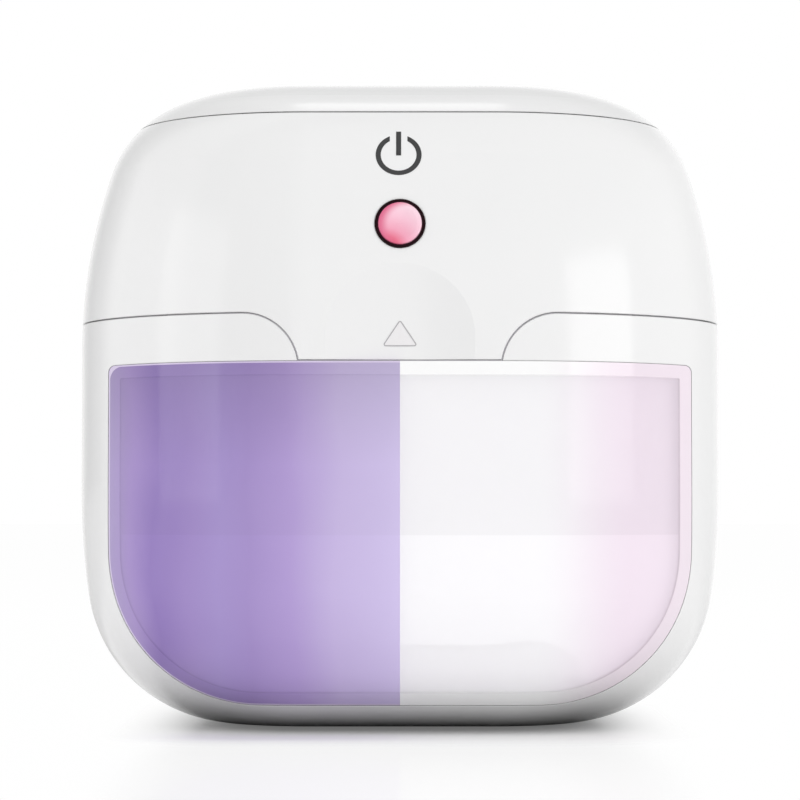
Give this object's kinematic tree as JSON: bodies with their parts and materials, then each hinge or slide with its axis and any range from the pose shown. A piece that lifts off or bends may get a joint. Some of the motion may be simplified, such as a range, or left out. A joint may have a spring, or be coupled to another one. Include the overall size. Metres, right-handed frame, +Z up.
{
  "type": "pacifier sterilizer case",
  "caption": "Rounded two-part case with a hinged lid, a see-through front, a lined chamber and ultraviolet lamps in the lid that clean a pacifier.",
  "frame": {"origin": "centre of the foot pad's face, on the surface that the case stands on", "axes": "+Z up, the front with its window and button faces -Y, +X to the right of someone facing the front"},
  "size_m": [0.092, 0.0818, 0.091],
  "materials": {
    "white_shell": "smooth moulded white plastic",
    "white_cover": "smooth moulded white plastic",
    "window_pane": "clear moulded plastic, violet tint on the left half",
    "pearl_liner": "glossy pearl white",
    "bright_metal": "satin bright",
    "grey_silicone": "matte",
    "white_silicone": "matte",
    "steel_pin": "ground",
    "screw_steel": "plated",
    "nickel_magnet": "nickel plated",
    "lamp_glass": "polished quartz",
    "lamp_package": "ceramic",
    "board_white": "white solder mask",
    "board_green": "green solder mask",
    "socket_steel": "satin",
    "black_package": "moulded",
    "foam_tape": "foam",
    "battery_pouch": "satin foil",
    "dark_ring": "smooth dark maroon",
    "rose_button": "translucent rose"
  },
  "bodies": {
    "base": {"base_shell": "white_shell", "front_window": "window_pane", "chamber_liner": "pearl_liner", "floor_reflector": "bright_metal", "foot_pad": "grey_silicone", "hinge_pin": "steel_pin", "base_magnets": "nickel_magnet"},
    "lid": {"lid_shell": "white_shell", "top_cover": "white_cover", "lid_liner": "pearl_liner", "lid_gasket": "white_silicone", "led_windows": "lamp_glass", "uv_led_board": "board_white", "uv_leds": "lamp_package", "main_board": "board_green", "usb_socket": "socket_steel", "controller_chip": "black_package", "battery_pad": "foam_tape", "battery": "battery_pouch", "lid_sensor": "black_package", "button_ring": "dark_ring", "tact_switch": "socket_steel", "indicator_led": "lamp_package", "button_board": "board_green", "liner_screws": "screw_steel", "main_board_screws": "screw_steel", "led_board_screws": "screw_steel", "button_board_screws": "screw_steel", "lid_magnets": "nickel_magnet"},
    "button": {"power_button": "rose_button", "switch_plunger": "black_package"}
  },
  "joints": [
    {"name": "lid_hinge", "type": "hinge", "parent": "base", "child": "lid", "pos_m": [0, 0.0396, 0.0574], "axis": [-1, 0, 0], "range_deg": [0, 105]},
    {"name": "button_press", "type": "slide", "parent": "lid", "child": "button", "axis": [0, 0.9801, -0.1987], "range_m": [0, 0.0006], "stiffness_N_per_m": 300}
  ]
}
